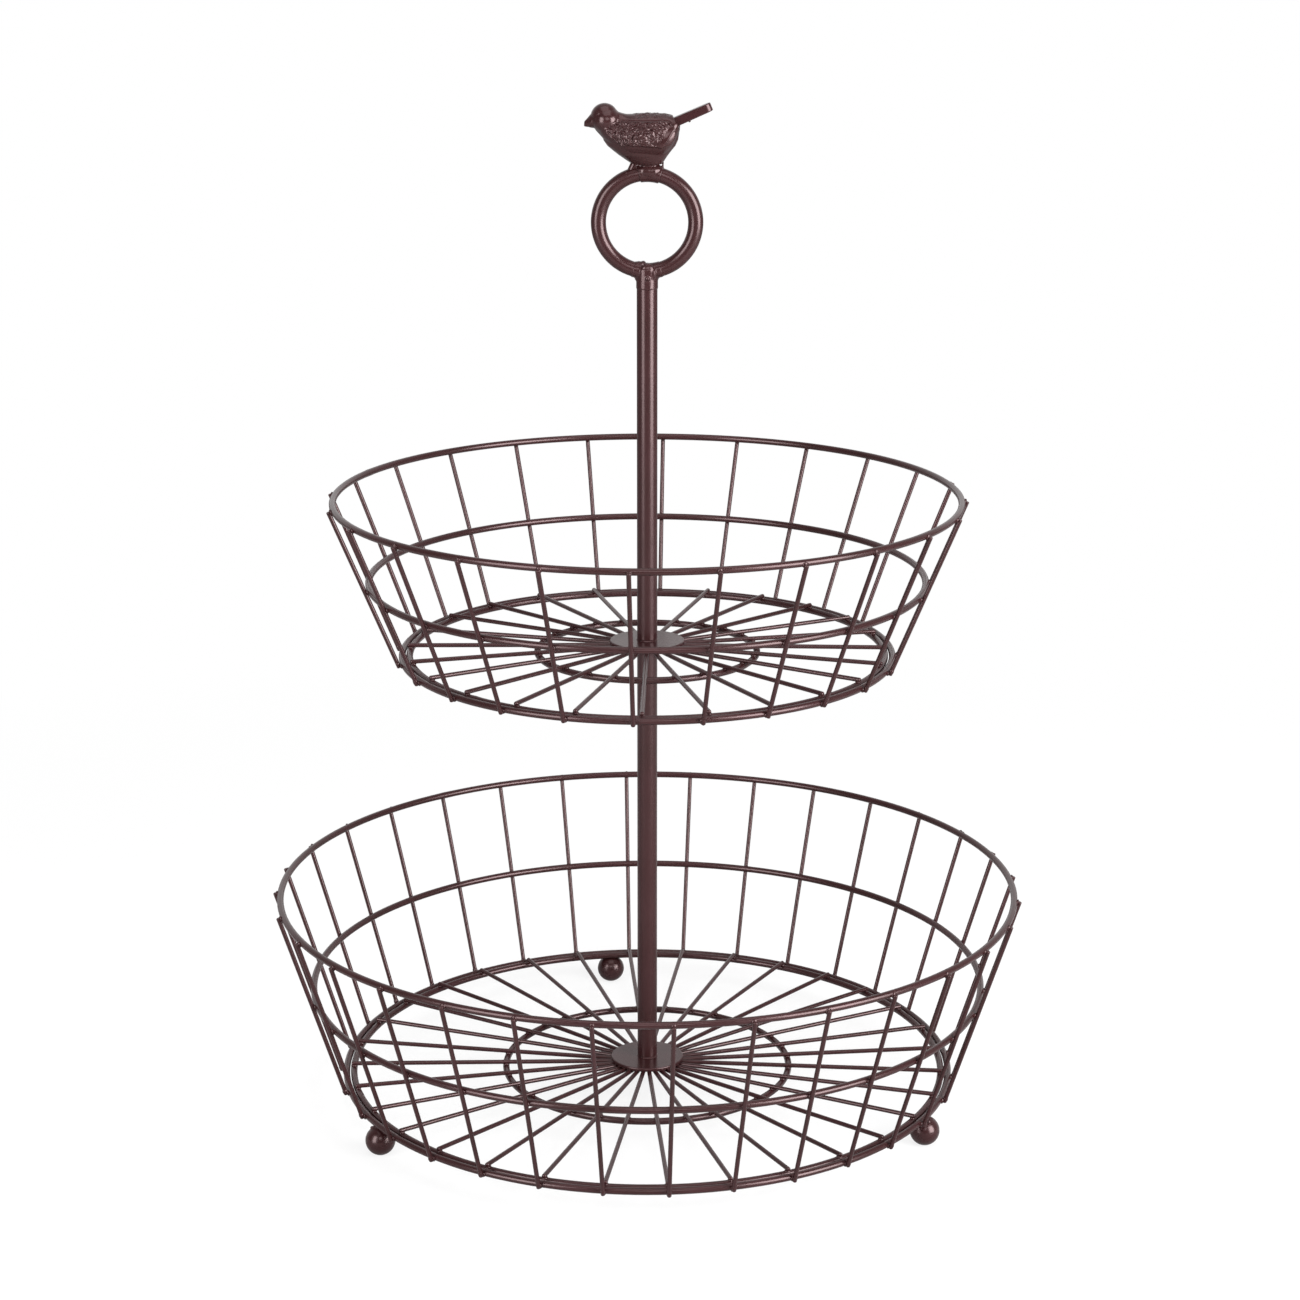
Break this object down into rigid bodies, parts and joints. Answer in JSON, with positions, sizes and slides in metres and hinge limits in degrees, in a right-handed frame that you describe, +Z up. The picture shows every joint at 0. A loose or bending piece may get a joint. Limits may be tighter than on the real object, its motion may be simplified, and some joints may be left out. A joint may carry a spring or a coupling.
{
  "type": "fruit bowl",
  "caption": "Two-tier wire fruit bowl stand: flared round wire bowls on a centre pole, with a ring handle, a bird finial and ball feet.",
  "frame": {"origin": "on the surface it stands on, under the centre pole", "axes": "+Z up along the centre pole; the bird looks along -X; -Y is the front, which the picture shows"},
  "size_m": [0.325, 0.325, 0.4334],
  "materials": {
    "bronze_coat": "satin brown bronze powder coat on steel",
    "cast_bronze_coat": "satin brown bronze coat on cast metal",
    "zinc_plate": "bright zinc plate"
  },
  "bodies": {
    "root": {"upper_pole": "bronze_coat", "lower_pole": "bronze_coat", "handle_ring": "bronze_coat", "ball_foot_back": "bronze_coat", "ball_foot_left": "bronze_coat", "ball_foot_right": "bronze_coat", "upper_rim_ring": "bronze_coat", "upper_side_wires": "bronze_coat", "upper_base_ring": "bronze_coat", "upper_floor_ring": "bronze_coat", "upper_floor_spokes": "bronze_coat", "upper_hub_disc": "bronze_coat", "lower_rim_ring": "bronze_coat", "lower_side_wires": "bronze_coat", "lower_base_ring": "bronze_coat", "lower_floor_ring": "bronze_coat", "lower_floor_spokes": "bronze_coat", "lower_hub_disc": "bronze_coat", "bird_finial": "cast_bronze_coat", "bird_post": "cast_bronze_coat", "pole_stud": "zinc_plate", "hub_screw": "zinc_plate", "hub_washer": "zinc_plate"}
  },
  "joints": []
}
